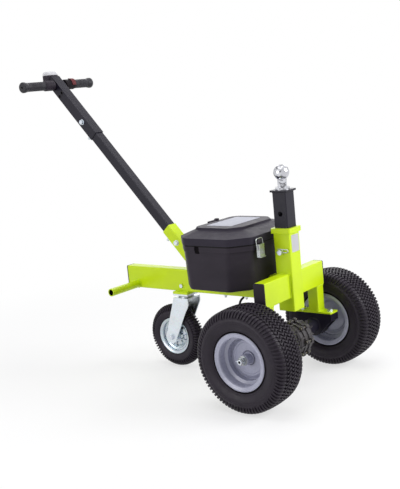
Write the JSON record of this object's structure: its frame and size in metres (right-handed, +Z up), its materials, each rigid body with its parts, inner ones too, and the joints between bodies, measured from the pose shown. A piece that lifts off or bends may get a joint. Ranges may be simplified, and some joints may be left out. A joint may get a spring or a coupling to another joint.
{
  "type": "electric trailer dolly",
  "caption": "Motorised trailer dolly with two pneumatic drive wheels, a rear caster, a battery box, a telescoping T-handle and a tow ball post.",
  "frame": {"origin": "on the floor, below the middle of the bounding box", "axes": "+X forward towards the ball post, +Y to the operator's left, +Z up"},
  "size_m": [1.2064, 0.6252, 1.1],
  "materials": {
    "green_paint": "gloss",
    "black_paint": "satin",
    "zinc_plate": "satin",
    "black_plastic": "fine grain",
    "cast_case": "rough",
    "tyre_rubber": "matte",
    "rim_paint": "satin",
    "chrome": "polished",
    "grip_rubber": "matte",
    "red_plastic": "gloss",
    "grey_plastic": "matte",
    "battery_case": "matte"
  },
  "bodies": {
    "frame": {"axle_bolts": "zinc_plate", "axle_brackets": "black_paint", "axle_housing": "black_paint", "axle_legs": "green_paint", "axle_plates": "green_paint", "ball_post_plate": "black_paint", "ball_post_tube": "black_paint", "batteries": "battery_case", "battery_box_base": "black_plastic", "beam_end_cap": "black_plastic", "beam_side_bolt": "zinc_plate", "box_bolts": "zinc_plate", "caster_mount_plate": "green_paint", "caster_top_plate": "zinc_plate", "cross_arm_end_caps": "black_plastic", "cross_arms": "green_paint", "drive_motor": "black_paint", "gear_case": "cast_case", "gear_case_bolts": "zinc_plate", "handle_lower_tube": "black_paint", "handle_socket": "green_paint", "hitch_pin": "zinc_plate", "hitch_pin_clip": "zinc_plate", "lid_hinge_ears": "black_plastic", "lid_hinge_pin": "zinc_plate", "main_beam": "green_paint", "mast": "green_paint", "mast_collar": "green_paint", "motor_cable": "grip_rubber", "rear_side_pipe": "green_paint", "socket_bolts": "zinc_plate", "tow_ball": "chrome"},
    "left_wheel": {"left_drive_tyre": "tyre_rubber", "left_drive_rim": "rim_paint", "left_half_shaft": "zinc_plate", "left_castle_nut": "zinc_plate"},
    "right_wheel": {"right_drive_tyre": "tyre_rubber", "right_drive_rim": "rim_paint", "right_half_shaft": "zinc_plate", "right_castle_nut": "zinc_plate"},
    "caster": {"caster_race": "zinc_plate", "caster_fork": "zinc_plate", "caster_axle": "zinc_plate"},
    "caster_wheel": {"caster_tyre": "tyre_rubber", "caster_rim": "zinc_plate"},
    "handle_top": {"handle_upper_tube": "black_paint", "upper_bolts": "zinc_plate", "handlebar": "black_paint", "right_grip": "grip_rubber", "left_grip": "grip_rubber", "throttle_sleeve": "black_plastic", "switch_sleeve": "black_plastic", "switch_button": "red_plastic", "control_head": "black_plastic", "control_head_cap": "grey_plastic"},
    "lid": {"battery_box_lid": "black_plastic", "lid_handle": "black_plastic", "latch_brackets": "black_plastic", "front_latches": "zinc_plate"}
  },
  "joints": [
    {"name": "left_wheel_spin", "type": "hinge", "parent": "frame", "child": "left_wheel", "pos_m": [0.434, 0.25, 0.165], "axis": [0, 1, 0], "continuous": true},
    {"name": "right_wheel_spin", "type": "hinge", "parent": "frame", "child": "right_wheel", "pos_m": [0.434, -0.25, 0.165], "axis": [0, 1, 0], "continuous": true},
    {"name": "caster_swivel", "type": "hinge", "parent": "frame", "child": "caster", "pos_m": [-0.007, 0, 0.26], "axis": [0, 0, 1], "continuous": true},
    {"name": "caster_wheel_spin", "type": "hinge", "parent": "caster", "child": "caster_wheel", "pos_m": [-0.067, 0, 0.115], "axis": [0, 1, 0], "continuous": true},
    {"name": "handle_telescope", "type": "slide", "parent": "frame", "child": "handle_top", "axis": [-0.673, 0, 0.7396], "range_m": [-0.08, 0.08]},
    {"name": "battery_lid_hinge", "type": "hinge", "parent": "frame", "child": "lid", "pos_m": [0.1, 0, 0.49], "axis": [0, -1, 0], "range_deg": [0, 100]}
  ]
}
